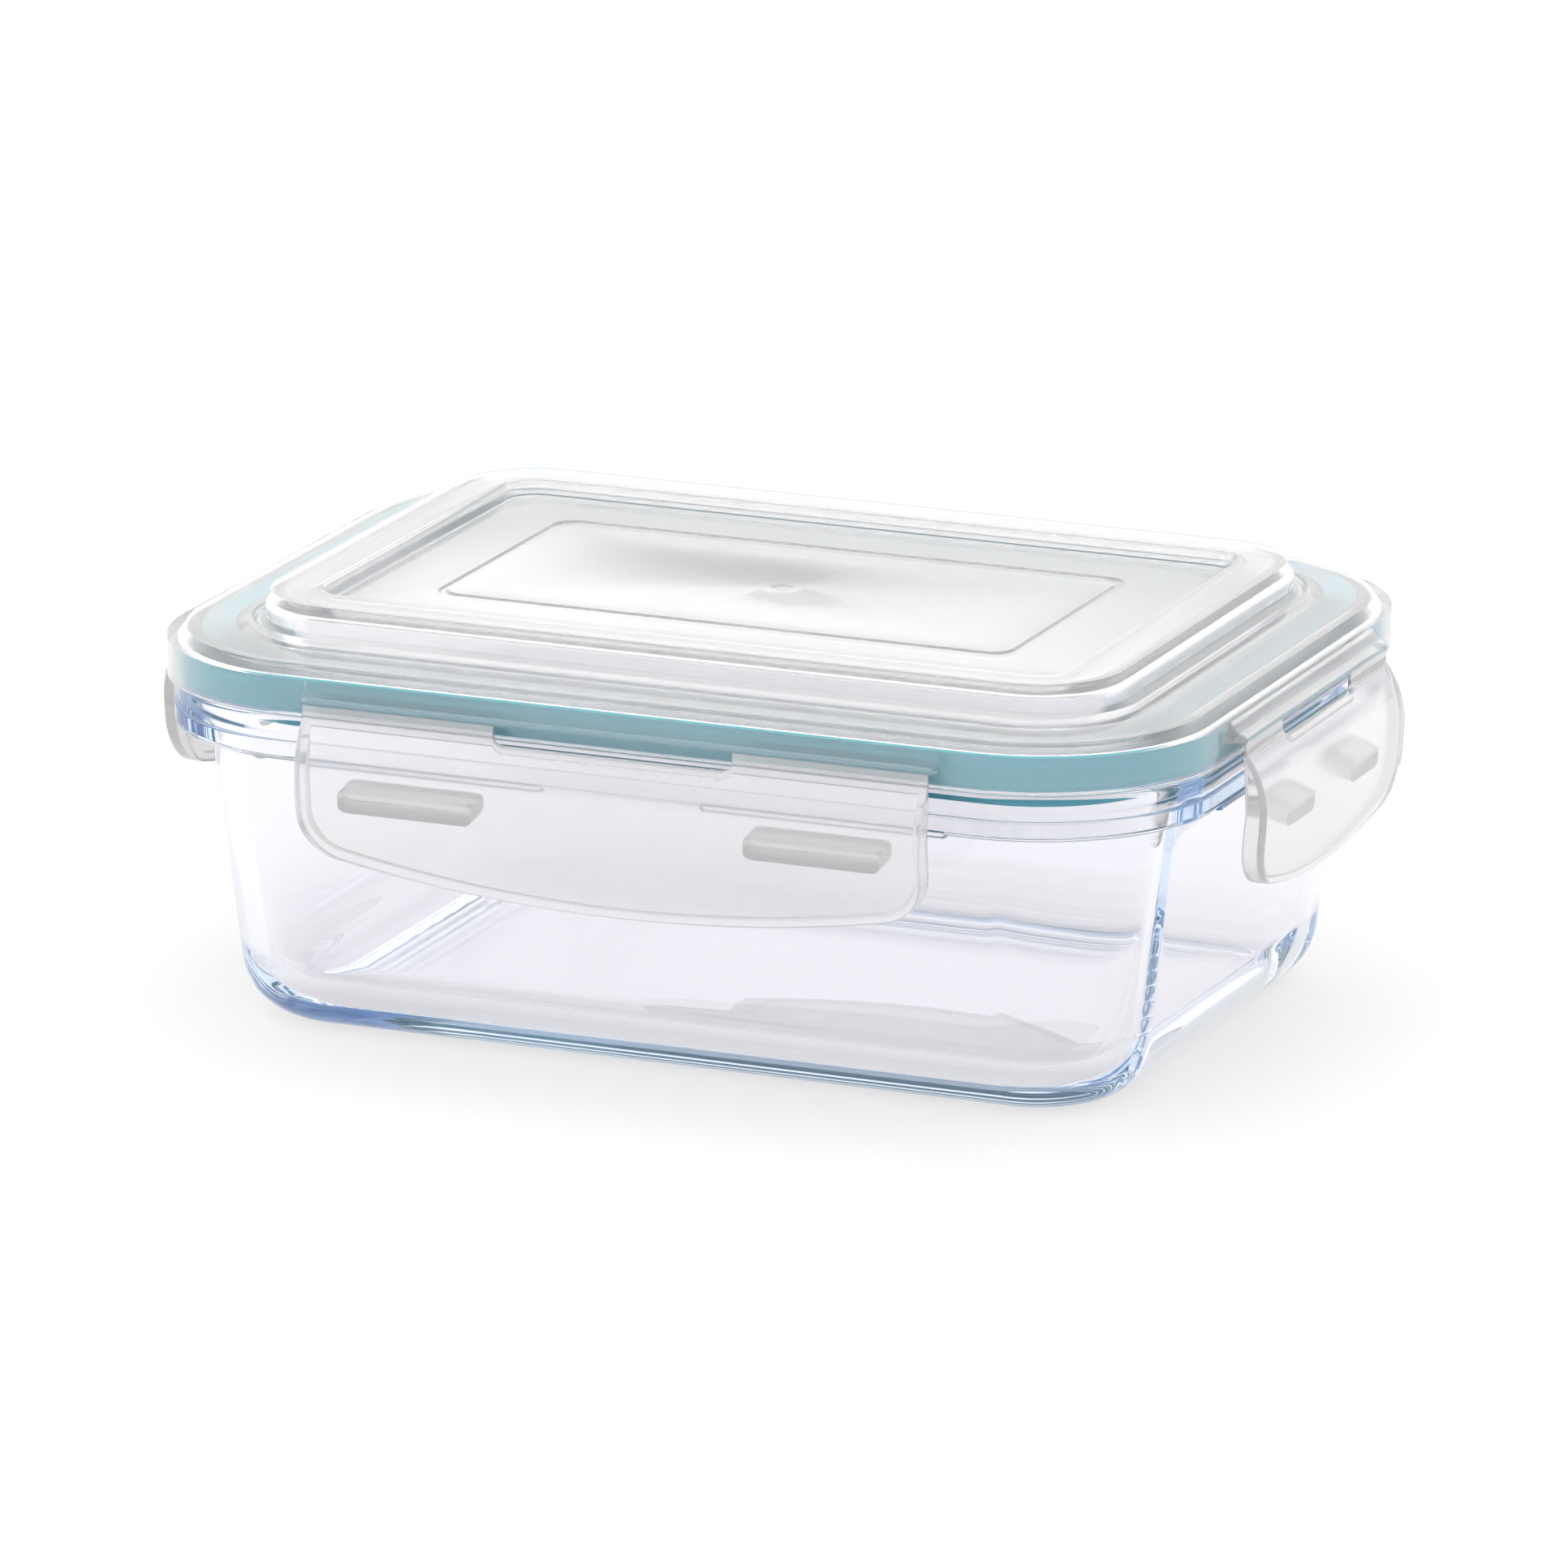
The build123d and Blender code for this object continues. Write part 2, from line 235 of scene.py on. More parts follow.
def side_stations(sizes, reach):
    """Positions along one straight side, close together where a tab or a catch bar ends."""
    near, far = sizes["catch"]
    marks = set(np.linspace(0, reach, 9))
    for end, inward in ((near, 1), (far, -1)):
        for share in (0, 0.03, 0.13, 0.3, 0.5, 0.75, 1):
            marks.add(end + inward * PILL * share)
    for share in np.linspace(0, 1, 7):
        marks.add(sizes["half"] + TAB_END * share)
    marks = sorted(m for m in marks if m <= reach)
    kept = [marks[0]]
    for mark in marks[1:]:
        if mark - kept[-1] > 0.01 * MM:
            kept.append(mark)
    return [-m for m in reversed(kept[1:])] + kept


def build_columns():
    """One row per column: side number, position along the side, and angle into the corner after it."""
    columns = []
    for number, (middle, along, out, sizes) in enumerate(SIDES.values()):
        reach = (HINGE_X if along[0] else HINGE_Y) - HINGE_CORNER
        for station in side_stations(sizes, reach):
            columns.append((number, station / reach, 0.0))
        for k in range(1, CORNER_STEPS):
            columns.append((number, 1.0, math.pi / 2 * k / CORNER_STEPS))
    return np.array(columns)


COLUMNS = build_columns()
SIDE_OF = COLUMNS[:, 0].astype(int)
ALONG = np.array([s[1] for s in SIDES.values()], float)[SIDE_OF]
OUT = np.array([s[2] for s in SIDES.values()], float)[SIDE_OF]
REACH = np.where(np.abs(ALONG[:, 0]) > 0, HINGE_X, HINGE_Y) - HINGE_CORNER
STATION = COLUMNS[:, 1] * REACH      # position along the side, metres
ON_CORNER = COLUMNS[:, 2] > 0


def plan(inset):
    """Plan points of every column at an inset, which may differ from column to column."""
    inset = np.broadcast_to(inset, len(COLUMNS))
    corner = np.maximum(HINGE_CORNER - inset, PANEL_CORNER)[:, None]
    length = np.where(np.abs(ALONG[:, 0]) > 0, HINGE_X, HINGE_Y) - inset
    width = np.where(np.abs(ALONG[:, 0]) > 0, HINGE_Y, HINGE_X) - inset
    straight = ALONG * (COLUMNS[:, 1] * (length - corner[:, 0]))[:, None]
    turn = COLUMNS[:, 2][:, None]
    return straight + OUT * (width[:, None] - corner) + corner * (OUT * np.cos(turn) + ALONG * np.sin(turn))


def catch_share():
    """How much of a catch bar's depth each column has: a bar with round ends."""
    share = np.zeros(len(COLUMNS))
    for number, (middle, along, out, sizes) in enumerate(SIDES.values()):
        near, far = sizes["catch"]
        inside = np.minimum(np.abs(STATION) - near, far - np.abs(STATION)) / PILL
        bar = np.sqrt(np.clip(1 - (1 - np.clip(inside, 0, 1)) ** 2, 0, 1))
        share = np.where((SIDE_OF == number) & ~ON_CORNER, bar, share)
    return share


def tab_share():
    """One along the hinge tabs, easing to zero past their ends."""
    share = np.zeros(len(COLUMNS))
    for number, (middle, along, out, sizes) in enumerate(SIDES.values()):
        inside = np.clip((sizes["half"] + TAB_END - np.abs(STATION)) / TAB_END, 0, 1)
        inside = inside * inside * (3 - 2 * inside)
        share = np.where((SIDE_OF == number) & ~ON_CORNER, inside, share)
    return share


def sweep(name, rows, closed=False, middle=()):
    """Piece made by carrying a profile round the outline.

    A row is (inset, height), each one number or one per column. The middle holds round rows (radius, height)
    that come before the others.
    """
    count = len(COLUMNS)
    verts = []
    angle = np.arctan2(*plan(rows[0][0]).T[::-1])
    circle = np.stack([np.cos(angle), np.sin(angle)], axis=-1)
    flats = [(circle * radius, height) for radius, height in middle]
    flats += [(plan(inset), height) for inset, height in rows]
    for flat, height in flats:
        heights = np.broadcast_to(height, count)
        verts.extend(zip(flat[:, 0], flat[:, 1], heights))
    faces = []
    for r in range(len(flats) if closed else len(flats) - 1):
        low, high = r * count, (r + 1) % len(flats) * count
        for c in range(count):
            d = (c + 1) % count
            faces.append((low + c, low + d, high + d, high + c))
    if not closed:
        faces.append(tuple(range(count)))
        faces.append(tuple(reversed(range((len(flats) - 1) * count, len(flats) * count))))
    return make_object(name, verts, faces)


# ---- glass tray --------------------------------------------------------------------------
def wall_inset(height):
    """Inset of the drafted outer wall at a height."""
    return WALL_FOOT + (WALL_TOP - WALL_FOOT) * (height - FOOT_Z) / (RIM_TOP - FOOT_Z)


def build_tray():
    """Drafted tray with a rounded foot, a stepped flange, catch bars, and a hollowed base."""
    bar = catch_share()
    outer_foot = rounded([
        (MIDDLE_INSET, FOOT_Z + PUSH_UP, 0),
        (RING_INNER, FOOT_Z + PUSH_UP, 6 * MM),
        (RING_OUTER, FOOT_Z, 4 * MM),
        (WALL_FOOT, FOOT_Z, FOOT_ROUND),
        (wall_inset(FLANGE_BOTTOM), FLANGE_BOTTOM, 1.5 * MM),
        (COVE_END, FLANGE_BOTTOM, 0),
    ], step=7)
    rows = list(outer_foot)
    for inset in (6.0 * MM, 5.4 * MM):
        rows.append((inset, FLANGE_BOTTOM - CATCH_DROP * bar))
    for k in range(7):
        a = math.pi / 2 * k / 6
        rows.append((
            FLANGE_LOW_INSET + FLANGE_ROUND * (1 - math.sin(a)) - CATCH_PROUD * bar,
            FLANGE_BOTTOM + FLANGE_ROUND * (1 - math.cos(a)) - CATCH_DROP * bar,
        ))
    rows.append((FLANGE_LOW_INSET - CATCH_PROUD * bar, FLANGE_BOTTOM + 0.62 * MM))
    rows.append((FLANGE_LOW_INSET - CATCH_PROUD * 0.7 * bar, FLANGE_BOTTOM + 0.68 * MM))
    rows.extend(rounded([
        (FLANGE_LOW_INSET, FLANGE_BOTTOM + 0.74 * MM, 0),
        (FLANGE_LOW_INSET, FLANGE_STEP, 0.4 * MM),
        (FLANGE_HIGH_INSET, FLANGE_STEP, 0.08 * MM),
        (FLANGE_HIGH_INSET, RIM_TOP, RIM_OUTER_ROUND),
        (WALL_TOP + WALL, RIM_TOP, RIM_INNER_ROUND),
        (wall_inset(FLOOR_Z) + WALL, FLOOR_Z, FLOOR_ROUND),
        (MIDDLE_INSET, FLOOR_Z, 0),
    ], step=7))
    return sweep("tray_glass", rows)


# ---- lid ---------------------------------------------------------------------------------
def build_lid():
    """Lid moulding: panel with its frame line, hollow ridge, shoulder, skirt, hinge tabs and plug wall."""
    tab = tab_share()
    rows = rounded([
        (MIDDLE_INSET, PANEL_TOP, 0),
        (FRAME_INSET + FRAME_GROOVE, PANEL_TOP, 0.3 * MM),
        (FRAME_INSET + FRAME_GROOVE - GROOVE_SLOPE, PANEL_TOP - GROOVE_DEPTH, 0.25 * MM),
        (FRAME_INSET + GROOVE_SLOPE, PANEL_TOP - GROOVE_DEPTH, 0.25 * MM),
        (FRAME_INSET, PANEL_TOP, 0.3 * MM),
        (RIDGE_INNER + RIDGE_DRAFT, PANEL_TOP, 0.5 * MM),
        (RIDGE_INNER, LID_TOP, RIDGE_INNER_ROUND),
        (RIDGE_OUTER, LID_TOP, RIDGE_OUTER_ROUND),
        (RIDGE_OUTER, SHOULDER_TOP, 0.6 * MM),
        (SKIRT_INSET, SHOULDER_TOP, SHOULDER_ROUND),
        (SKIRT_INSET, TAB_BOTTOM + TAB_HEIGHT, 0),
    ], step=8)
    for height, proud in TAB_ROWS:
        rows.append((SKIRT_INSET - proud * MM * tab, TAB_BOTTOM + height * MM))
    rows.append((SKIRT_INSET, TAB_BOTTOM - 0.04 * MM))
    rows.extend(rounded([
        (SKIRT_INSET, TAB_BOTTOM - 0.3 * MM, 0),
        (SKIRT_INSET, SKIRT_BOTTOM, EDGE_ROUND),
        (SKIRT_INSET + SKIN, SKIRT_BOTTOM, EDGE_ROUND),
        (SKIRT_INSET + SKIN, SHOULDER_TOP - SKIN, 0.5 * MM),
        (PLUG_INSET, SHOULDER_TOP - SKIN, 0.4 * MM),
        (PLUG_INSET, PLUG_BOTTOM, 0.5 * MM),
        (PLUG_INSET + SKIN, PLUG_BOTTOM, 0.5 * MM),
        (PLUG_INSET + SKIN, SHOULDER_TOP - SKIN, 0.6 * MM),
        (RIDGE_OUTER + SKIN, SHOULDER_TOP - SKIN, 0.6 * MM),
        (RIDGE_OUTER + SKIN, LID_TOP - SKIN, 1.0 * MM),
        (RIDGE_INNER - SKIN, LID_TOP - SKIN, 0.6 * MM),
        (RIDGE_INNER - SKIN + 0.5 * MM, PANEL_TOP - SKIN, 0.6 * MM),
        (MIDDLE_INSET, PANEL_TOP - SKIN, 0),
    ], step=12))
    return sweep("lid_moulding", rows, middle=[(r * MM, PANEL_TOP + dz * MM) for r, dz in GATE_ROWS])


def build_seal():
    """Seal ring: body in the lid's channel, leg outside the rim, two lips over it, and a thin inner skirt."""
    outer, inner = HINGE_X - seal_high.x, PLUG_INSET - 0.05 * MM
    skirt, leg = inner - SEAL_SKIRT_WIDTH, outer + SEAL_LEG_WIDTH
    points = [
        (outer, SEAL_TOP, SEAL_ROUND),
        (inner, SEAL_TOP, 0.4 * MM),
        (inner, seal_low.z, 0.3 * MM),
        (skirt, seal_low.z, 0.25 * MM),
        (skirt, SEAL_BODY, 0.6 * MM),
    ]
    for lip in SEAL_LIPS:
        points += [
            (lip + 1.2 * MM, SEAL_BODY, 0.3 * MM),
            (lip + 1.0 * MM, SEAL_LIP, 0.4 * MM),
            (lip + 0.2 * MM, SEAL_LIP, 0.4 * MM),
            (lip, SEAL_BODY, 0.3 * MM),
        ]
    points += [(leg, SEAL_BODY, 0.3 * MM), (leg, SEAL_LEG, 0.25 * MM), (outer, SEAL_LEG, 0.25 * MM)]
    start = (outer, (SEAL_TOP + SEAL_LEG) / 2, 0)
    return sweep("seal_ring", rounded([start, *points, start], step=18)[:-1], closed=True)


# ---- latches -----------------------------------------------------------------------------
def arc_depth(height, points):
    """Outward position at a height, on the outer side of a circle through three (outward, height) points."""
    (ax, ay), (bx, by), (cx, cy) = points
    d = 2 * (ax * (by - cy) + bx * (cy - ay) + cx * (ay - by))
    a2, b2, c2 = ax * ax + ay * ay, bx * bx + by * by, cx * cx + cy * cy
    ux = (a2 * (by - cy) + b2 * (cy - ay) + c2 * (ay - by)) / d
    uy = (a2 * (cx - bx) + b2 * (ax - cx) + c2 * (bx - ax)) / d
    radius = math.hypot(ax - ux, ay - uy)
    return ux + np.sqrt(np.maximum(radius**2 - (np.asarray(height) - uy) ** 2, 0))


def flap_outer(height):
    """Outward position of a flap's bulged outer face."""
    z = np.asarray(height) / MM
    top = (LATCH_TOP / MM) - BULGE_TOP
    upper = arc_depth(z - top, UPPER_ARC)
    lower = arc_depth(z - top, LOWER_ARC)
    return np.where(z - top > BULGE_JOIN, upper, lower) * MM


def flap_inner(height):
    """Outward position of the inner edge of a flap's rim."""
    below_top = (LATCH_TOP - np.asarray(height)) / MM
    return np.interp(below_top, RIM_DEPTHS, RIM_OUTWARDS) * MM


def flap_grid(sizes, shrink):
    """Grid of (along, height) points that fills a flap's front outline, shrunk by a margin."""
    half = sizes["half"] - shrink
    low = sizes["low"] + shrink
    corner = FLAP_CORNER - shrink
    bow_radius = (sizes["half"] ** 2 + sizes["bow"] ** 2) / (2 * sizes["bow"])
    # where the corner's circle touches the side and the bowed edge
    centre_x = half - corner
    bow_centre = low + bow_radius
    centre_z = bow_centre - math.sqrt((bow_radius - corner) ** 2 - centre_x**2)
    touch = math.asin(centre_x / (bow_radius - corner))
    angles = np.linspace(touch, math.pi / 2, 13)
    corner_x = centre_x + corner * np.sin(angles)
    corner_z = centre_z - corner * np.cos(angles)
    window = sizes["window"]
    steps = np.linspace(0, 1, 8)
    scoop = window + 0.15 * MM - WINDOW_SCOOP * (1 - steps)
    inner = np.linspace(0, scoop[0], 8)[:-1]
    outer = np.linspace(window + 0.3 * MM, corner_x[0], 14)
    right_x = np.concatenate([inner, scoop, outer[:-1], corner_x])
    bow_z = bow_centre - np.sqrt(bow_radius**2 - np.minimum(right_x, half) ** 2)
    right_low = np.concatenate([bow_z[: len(right_x) - len(corner_x)], corner_z])
    rise = np.clip((right_x - (window + 0.15 * MM - WINDOW_SCOOP)) / WINDOW_SCOOP, 0, 1)
    lift = 1 - np.sqrt(np.clip(1 - rise**2.2, 0, 1))
    right_top = WINDOW_BOTTOM + (LATCH_TOP - WINDOW_BOTTOM) * lift - shrink
    xs = np.concatenate([-right_x[:0:-1], right_x])
    lows = np.concatenate([right_low[:0:-1], right_low])
    tops = np.concatenate([right_top[:0:-1], right_top])
    share = np.linspace(0, 1, 30)[:, None]
    heights = tops + (lows - tops) * share
    return np.stack([np.broadcast_to(xs, heights.shape), heights], axis=-1)


def border(grid):
    """Closed loop of a grid's border points."""
    return np.concatenate([grid[0, :-1], grid[:-1, -1], grid[-1, :0:-1], grid[:0:-1, 0]])


def place(side, along, outward, height):
    """Row-frame point from a side's own coordinates."""
    (mx, my), (ax, ay), (ox, oy), sizes = side
    x = mx + ax * along + ox * outward
    y = my + ay * along + oy * outward
    return np.stack([x, y, height + 0 * along], axis=-1)


def build_flap(name, side):
    """Latch flap: bulged plate, rounded edges, turned-in rim, and its two hooks."""
    sizes = side[3]
    edge = 0.45 * MM
    verts, faces = [], []

    def add_grid(shrink, depth):
        grid = flap_grid(sizes, shrink)
        rows, cols = grid.shape[:2]
        first = len(verts)
        flat = grid.reshape(-1, 2)
        verts.extend(place(side, flat[:, 0], depth(flat[:, 1]), flat[:, 1]))
        index = first + np.arange(rows * cols).reshape(rows, cols)
        faces.extend(
            (index[r, c], index[r, c + 1], index[r + 1, c + 1], index[r + 1, c])
            for r in range(rows - 1) for c in range(cols - 1)
        )
        return border(index)

    def add_loop(shrink, depth):
        loop = border(flap_grid(sizes, shrink))
        first = len(verts)
        verts.extend(place(side, loop[:, 0], depth(loop[:, 1]), loop[:, 1]))
        return first + np.arange(len(loop))

    loops = [add_grid(edge, flap_outer)]
    for k in range(1, 5):
        a = math.pi / 2 * k / 4
        inset, sink = edge * (1 - math.sin(a)), edge * (1 - math.cos(a))
        loops.append(add_loop(inset, lambda z: flap_outer(z) - sink))
    small = 0.25 * MM
    for k in range(4):
        a = math.pi / 2 * k / 3
        inset, rise = small * (1 - math.cos(a)), small * (1 - math.sin(a))
        loops.append(add_loop(inset, lambda z: flap_inner(z) + rise))
    for k in range(4):
        a = math.pi / 2 * k / 3
        inset, rise = RIM - small * (1 - math.sin(a)), small * (1 - math.cos(a))
        loops.append(add_loop(inset, lambda z: flap_inner(z) + rise))
    loops.append(add_grid(RIM, lambda z: flap_outer(z) - PLATE))
    for a, b in zip(loops, loops[1:]):
        for i in range(len(a)):
            j = (i + 1) % len(a)
            faces.append((a[i], a[j], b[j], b[i]))
    flap = make_object(name, verts, faces)
    for sign in (-1, 1):
        join(flap, build_hook(name + "_hook", side, sign))
    return flap


def prism(name, side, rings):
    """Closed piece through (station, section) rings along a side. A section has (outward, height) points."""
    verts, faces = [], []
    count = len(rings[0][1])
    for station, section in rings:
        verts.extend(place(side, np.full(count, station), section[:, 0], section[:, 1]))
    for r in range(len(rings) - 1):
        for c in range(count):
            d = (c + 1) % count
            faces.append((r * count + c, r * count + d, (r + 1) * count + d, (r + 1) * count + c))
    faces.append(tuple(range(count)))
    faces.append(tuple(range((len(rings) - 1) * count, len(rings) * count)))
    return make_object(name, verts, faces)


def build_hook(name, side, sign):
    """Snap hook on a flap's inner face, tapered towards its tip and chamfered at its ends."""
    near, far = side[3]["hook"]
    profile = np.array(rounded([
        (flap_outer(HOOK_TOP - 2.6 * MM) - PLATE + HOOK_GAP, HOOK_TOP - 4.1 * MM, 0),
        (HOOK_TIP + 0.6 * MM, HOOK_TOP - 3.2 * MM, 0.5 * MM),
        (HOOK_TIP, HOOK_TOP - 2.6 * MM, 0.3 * MM),
        (HOOK_TIP, HOOK_TOP, 0.35 * MM),
        (HOOK_TIP + 0.9 * MM, HOOK_TOP, 0.3 * MM),
        (flap_outer(HOOK_TOP - 2.0 * MM) - PLATE + HOOK_GAP, HOOK_TOP - 1.0 * MM, 0),
    ], step=20))
    middle = profile.mean(axis=0)
    # stations along the hook, and how tall its section is there
    cuts = [(near, 0.72), (near + HOOK_CHAMFER * 0.35, 0.88), (near + HOOK_CHAMFER, 1.0)]
    cuts += [(far - HOOK_CHAMFER, 1.0), (far - HOOK_CHAMFER * 0.35, 0.88), (far, 0.72)]
    rings = [(sign * station, middle + (profile - middle) * [1, scale]) for station, scale in cuts]
    return prism(name, side, rings)


def join(target, extra):
    """Moves the mesh of one object into another."""
    work = bmesh.new()
    work.from_mesh(target.data)
    work.from_mesh(extra.data)
    work.to_mesh(target.data)
    work.free()
    bpy.data.objects.remove(extra)


def build_web(name, side, sign):
    """Living-hinge web: a thin strip, waisted half way up, between a lid tab and its flap."""
    sizes = side[3]
    near, far = sizes["window"] + 0.15 * MM, sizes["half"] - 0.1 * MM
    inner, outer, waist = -0.7 * MM, -0.1 * MM, 0.12 * MM
    rows = np.linspace(0, 1, 13)
    section = []
    for share in rows:
        pinch = waist * 4 * share * (1 - share)
        section.append((outer - pinch, LATCH_TOP + (TAB_BOTTOM - LATCH_TOP) * share))
    for share in rows[::-1]:
        pinch = waist * 4 * share * (1 - share)
        section.append((inner + pinch, LATCH_TOP + (TAB_BOTTOM - LATCH_TOP) * share))
    section = np.array(section)
    return prism(name, side, [(sign * station, section) for station in np.linspace(near, far, 12)])


# ---- materials ---------------------------------------------------------------------------
def new_material(name):
    """New node material, with its tree, its Principled shader and its output node."""
    material = bpy.data.materials.new(name)
    material.use_nodes = True
    tree = material.node_tree
    return material, tree, tree.nodes["Principled BSDF"], tree.nodes["Material Output"]


def add_noise(tree, scale, detail=3.0):
    """Noise in the piece's own coordinates, scale in cells per metre."""
    coords = tree.nodes.new("ShaderNodeTexCoord")
    noise = tree.nodes.new("ShaderNodeTexNoise")
    noise.inputs["Scale"].default_value = scale
    noise.inputs["Detail"].default_value = detail
    tree.links.new(coords.outputs["Object"], noise.inputs["Vector"])
    return noise


def map_range(tree, source, low, high):
    """Output that runs from low to high as the source runs from 0 to 1."""
    ranged = tree.nodes.new("ShaderNodeMapRange")
    ranged.inputs["To Min"].default_value = low
    ranged.inputs["To Max"].default_value = high
    tree.links.new(source, ranged.inputs["Value"])
    return ranged.outputs["Result"]


def add_bump(tree, shader, source, strength, distance):
    bump = tree.nodes.new("ShaderNodeBump")
    bump.inputs["Strength"].default_value = strength
    bump.inputs["Distance"].default_value = distance
    tree.links.new(source, bump.inputs["Height"])
    tree.links.new(bump.outputs["Normal"], shader.inputs["Normal"])


def mix_colour(tree, shader, factor, low, high):
    """Base colour that runs from low to high with a factor."""
    mix = tree.nodes.new("ShaderNodeMix")
    mix.data_type = "RGBA"
    mix.inputs["A"].default_value = (*low, 1)
    mix.inputs["B"].default_value = (*high, 1)
    tree.links.new(factor, mix.inputs["Factor"])
    tree.links.new(mix.outputs["Result"], shader.inputs["Base Color"])


def glass_material():
    """Pressed soda glass: clear, faintly blue through its thickness, with a slight waviness."""
    material, tree, shader, output = new_material("pressed_glass")
    shader.inputs["Base Color"].default_value = (0.957, 0.947, 0.972, 1)
    shader.inputs["Transmission Weight"].default_value = 1.0
    shader.inputs["IOR"].default_value = 1.5
    wave = add_noise(tree, 28.0, 1.0)
    tree.links.new(map_range(tree, wave.outputs["Fac"], 0.0, 0.012), shader.inputs["Roughness"])
    add_bump(tree, shader, wave.outputs["Fac"], 0.12, 0.3 * MM)
    absorb = tree.nodes.new("ShaderNodeVolumeAbsorption")
    absorb.inputs["Color"].default_value = (0.66, 0.83, 1.0, 1)
    absorb.inputs["Density"].default_value = 8.0
    tree.links.new(absorb.outputs["Volume"], output.inputs["Volume"])
    return material


def plastic_material(name, tint, shade, clear, rough):
    """Translucent polypropylene: milky, with flow clouding and a fine moulded texture."""
    material, tree, shader, output = new_material(name)
    cloud = add_noise(tree, 35.0, 4.0)
    mix_colour(tree, shader, cloud.outputs["Fac"], shade, tint)
    roughness = map_range(tree, cloud.outputs["Fac"], rough - 0.03, rough + 0.03)
    tree.links.new(roughness, shader.inputs["Roughness"])
    shader.inputs["Transmission Weight"].default_value = clear
    shader.inputs["IOR"].default_value = 1.45
    shader.inputs["Coat Weight"].default_value = 0.5
    shader.inputs["Coat Roughness"].default_value = 0.05
    shader.inputs["Coat IOR"].default_value = 1.45
    grain = add_noise(tree, 900.0, 2.0)
    add_bump(tree, shader, grain.outputs["Fac"], 0.08, 0.1 * MM)
    return material


def silicone_material():
    """Teal silicone of the seal, satin, slightly uneven in tone."""
    material, tree, shader, output = new_material("teal_silicone")
    tone = add_noise(tree, 60.0, 3.0)
    mix_colour(tree, shader, tone.outputs["Fac"], (0.0, 0.44, 0.58), (0.003, 0.54, 0.66))
    tree.links.new(map_range(tree, tone.outputs["Fac"], 0.32, 0.48), shader.inputs["Roughness"])
    grain = add_noise(tree, 1500.0, 2.0)
    add_bump(tree, shader, grain.outputs["Fac"], 0.1, 0.05 * MM)
    return material


# ---- the object --------------------------------------------------------------------------
GLASS = glass_material()
LID_PLASTIC = plastic_material("lid_polypropylene", (0.995, 0.985, 0.98), (0.97, 0.965, 0.97), 0.90, 0.17)
LATCH_PLASTIC = plastic_material("latch_polypropylene", (0.98, 0.965, 0.955), (0.95, 0.94, 0.935), 0.74, 0.13)
SILICONE = silicone_material()


def fit_out(obj, body, material, node):
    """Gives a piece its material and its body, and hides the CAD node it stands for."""
    obj.data.materials.append(material)
    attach(obj, body)
    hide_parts(node)


fit_out(build_tray(), "container", GLASS, "glass_container")
fit_out(build_lid(), "lid", LID_PLASTIC, "lid_shell")
fit_out(build_seal(), "lid", SILICONE, "seal_gasket")
for side_name, side in SIDES.items():
    fit_out(build_flap(side_name + "_flap", side), side_name + "_latch", LATCH_PLASTIC,
            side_name + "_latch")
    middle, along, out, sizes = side
    for end, sign in (("left", -1), ("right", 1)):
        web = build_web(f"{side_name}_web_{end}", side, sign)
        web.data.materials.append(LATCH_PLASTIC)
        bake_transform(web)
        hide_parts(f"{side_name}_hinge_{end}")

# ---- stage -------------------------------------------------------------------------------
FLOOR_HALF = 4.0
FLOOR_DROP = 0.05 * MM               # the floor lies this far below the foot
FLOOR_CORNERS = ((-1, -1), (1, -1), (1, 1), (-1, 1))
floor_mesh = bpy.data.meshes.new("floor")
floor_mesh.from_pydata(
    [(x * FLOOR_HALF, y * FLOOR_HALF, FOOT_Z - FLOOR_DROP) for x, y in FLOOR_CORNERS], [], [(0, 1, 2, 3)],
)
floor = bpy.data.objects.new("floor", floor_mesh)
bpy.context.scene.collection.objects.link(floor)
material, tree, shader, output = new_material("studio_floor")
shader.inputs["Base Color"].default_value = (0.38, 0.38, 0.38, 1)
shader.inputs["Roughness"].default_value = 0.9
shader.inputs["Specular IOR Level"].default_value = 0.1
shader.inputs["Emission Color"].default_value = (1, 1, 1, 1)
shader.inputs["Emission Strength"].default_value = 0.60
floor_mesh.materials.append(material)

# camera: long lens, right of the front and a little above, aimed just below and behind the middle
AZIMUTH = math.radians(23.01)
ELEVATION = math.radians(15.53)
DISTANCE = 2.2
centre = (cad_low + cad_high) / 2
aim = centre + Vector((-3.1, 8.2, -2.7)) * MM
level = math.cos(ELEVATION)
back = Vector((math.sin(AZIMUTH) * level, -math.cos(AZIMUTH) * level, math.sin(ELEVATION)))
camera_data = bpy.data.cameras.new("camera")
camera_data.lens = 319.8
camera_data.sensor_width = 36.0
camera_data.clip_end = 20.0
camera = bpy.data.objects.new("camera", camera_data)
camera.location = aim + back * DISTANCE
camera.rotation_mode = "QUATERNION"
camera.rotation_quaternion = (-back).to_track_quat("-Z", "Y")
bpy.context.scene.collection.objects.link(camera)
bpy.context.scene.camera = camera

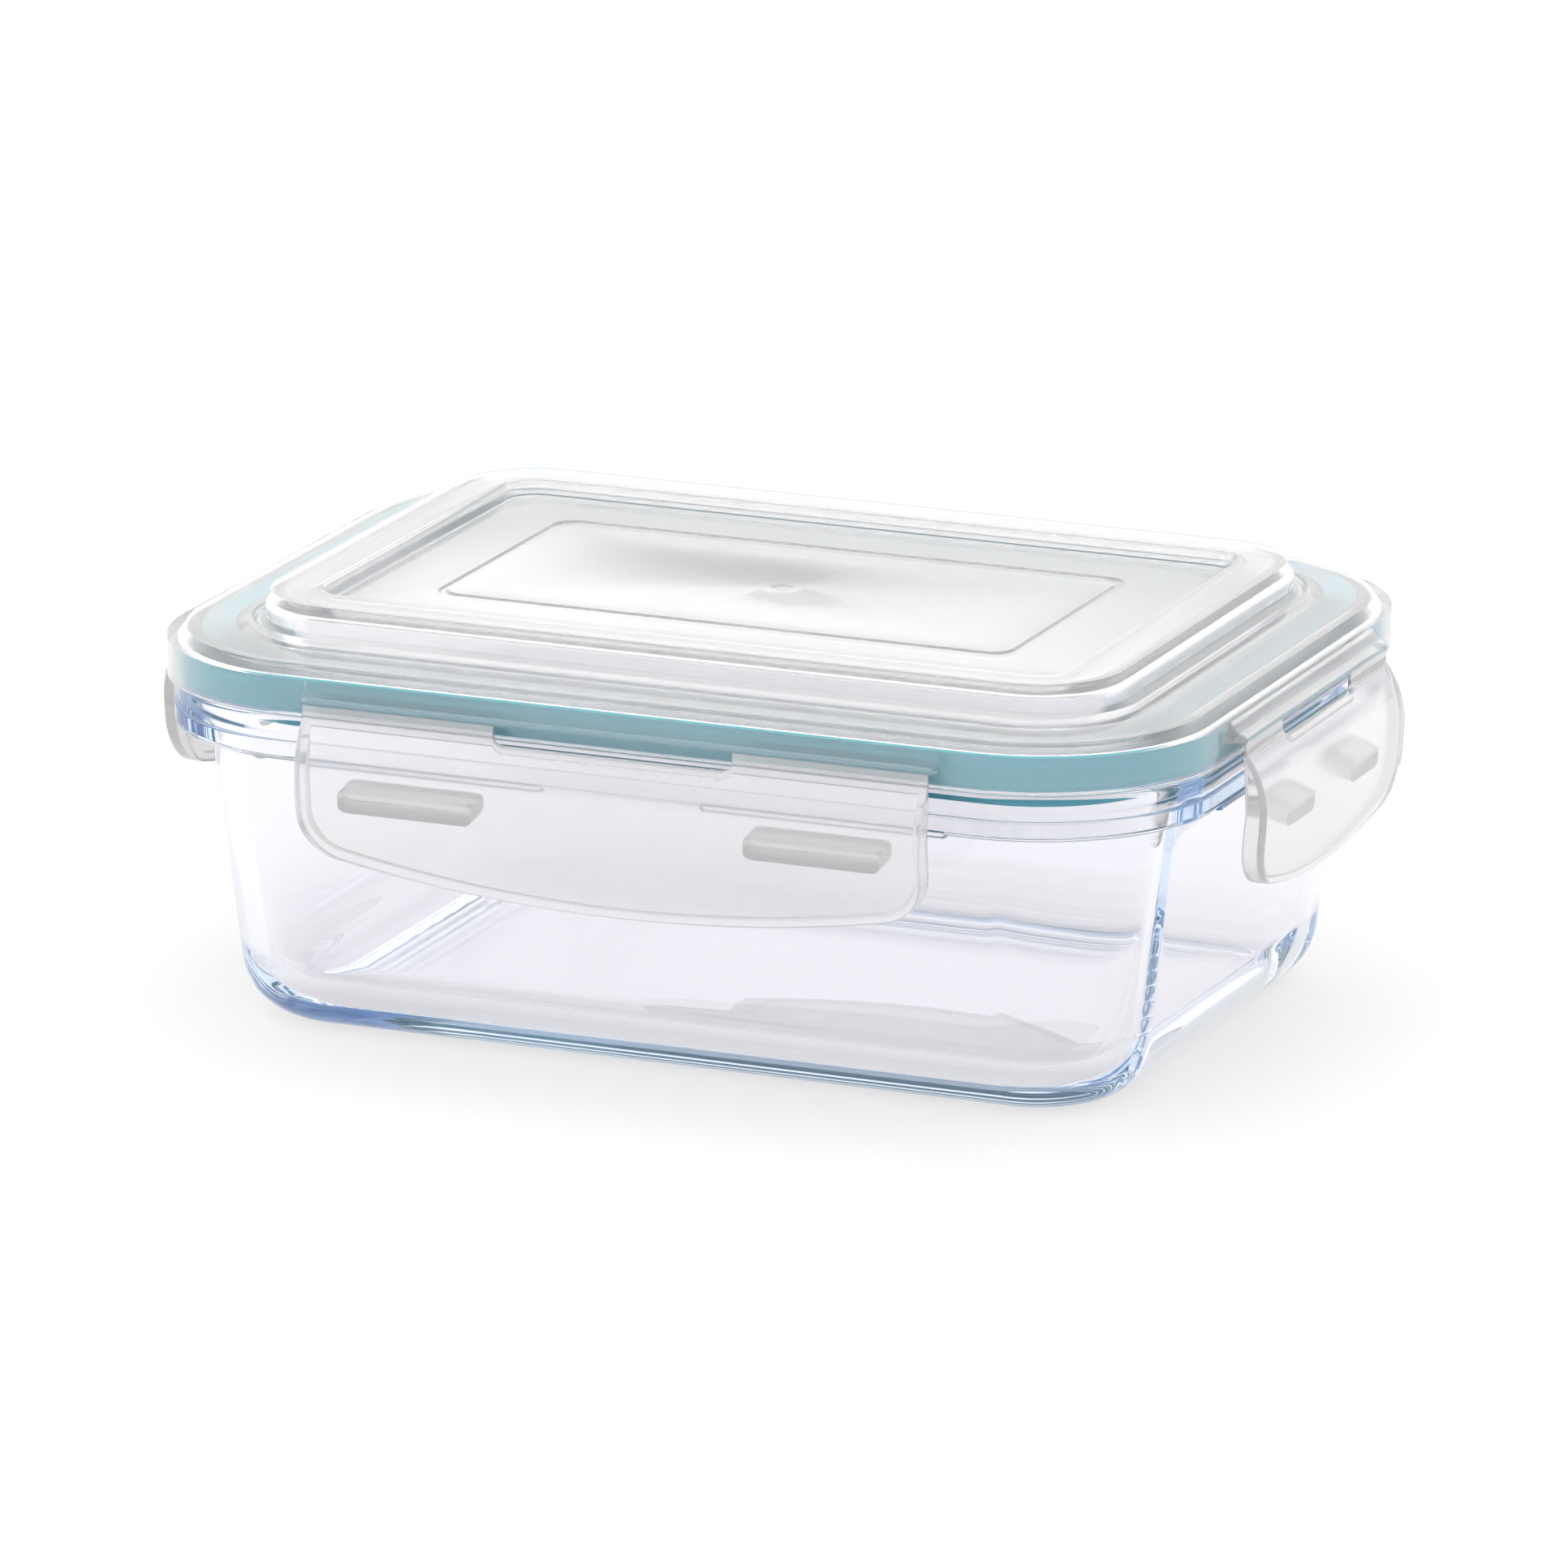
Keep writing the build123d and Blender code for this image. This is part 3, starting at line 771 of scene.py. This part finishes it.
# soft surroundings that fall off to a dim blue-grey near the horizon, a little brighter behind the object,
# and plain white where the camera sees them straight
SKY = (                              # height, leaning back a little, and colour
    (0.0, (0.34, 0.45, 0.78)),
    (0.04, (0.60, 0.62, 0.75)),
    (0.12, (0.84, 0.835, 0.88)),
    (0.25, (1.05, 1.04, 1.05)),
    (0.38, (1.45, 1.43, 1.42)),
    (1.0, (1.75, 1.73, 1.71)),
)
SKY_LEAN = 0.12
world = bpy.data.worlds.new("studio")
bpy.context.scene.world = world
world.use_nodes = True
tree = world.node_tree
background = tree.nodes["Background"]
coords = tree.nodes.new("ShaderNodeTexCoord")
lean = tree.nodes.new("ShaderNodeVectorMath")
lean.operation = "DOT_PRODUCT"
lean.inputs[1].default_value = (-SKY_LEAN * math.sin(AZIMUTH), SKY_LEAN * math.cos(AZIMUTH), 1.0)
tree.links.new(coords.outputs["Generated"], lean.inputs[0])
ramp = tree.nodes.new("ShaderNodeValToRGB")
for position, colour in SKY:
    stop = ramp.color_ramp.elements.new(position)
    stop.color = (*colour, 1)
# the ramp's own black stop goes; its own white one, at the top, stays
ramp.color_ramp.elements.remove(ramp.color_ramp.elements[0])
tree.links.new(lean.outputs["Value"], ramp.inputs["Fac"])
path = tree.nodes.new("ShaderNodeLightPath")
pick = tree.nodes.new("ShaderNodeMix")
pick.data_type = "RGBA"
pick.inputs["B"].default_value = (1, 1, 1, 1)
tree.links.new(path.outputs["Is Camera Ray"], pick.inputs["Factor"])
tree.links.new(ramp.outputs["Color"], pick.inputs["A"])
tree.links.new(pick.outputs["Result"], background.inputs["Color"])
background.inputs["Strength"].default_value = 1.0


def soft_box(name, spot, size, power, tint):
    """Rectangular area light that faces the object."""
    light = bpy.data.lights.new(name, "AREA")
    light.shape = "RECTANGLE"
    light.size, light.size_y = size
    light.energy = power
    light.color = tint
    lamp = bpy.data.objects.new(name, light)
    lamp.location = spot
    lamp.rotation_mode = "QUATERNION"
    lamp.rotation_quaternion = (centre - Vector(spot)).to_track_quat("-Z", "Y")
    bpy.context.scene.collection.objects.link(lamp)


soft_box("top_box", (0.0, 0.3, 1.6), (1.6, 1.2), 4.5, (1.0, 0.99, 0.98))
soft_box("left_box", (-1.5, -0.6, 0.9), (0.7, 1.2), 4.0, (1.0, 1.0, 1.0))

bpy.context.scene.view_settings.view_transform = "Standard"
# light runs a long way inside the glass walls before it gets out
BOUNCES = 64
bpy.context.scene.cycles.max_bounces = BOUNCES
bpy.context.scene.cycles.transmission_bounces = BOUNCES
bpy.context.scene.cycles.glossy_bounces = BOUNCES
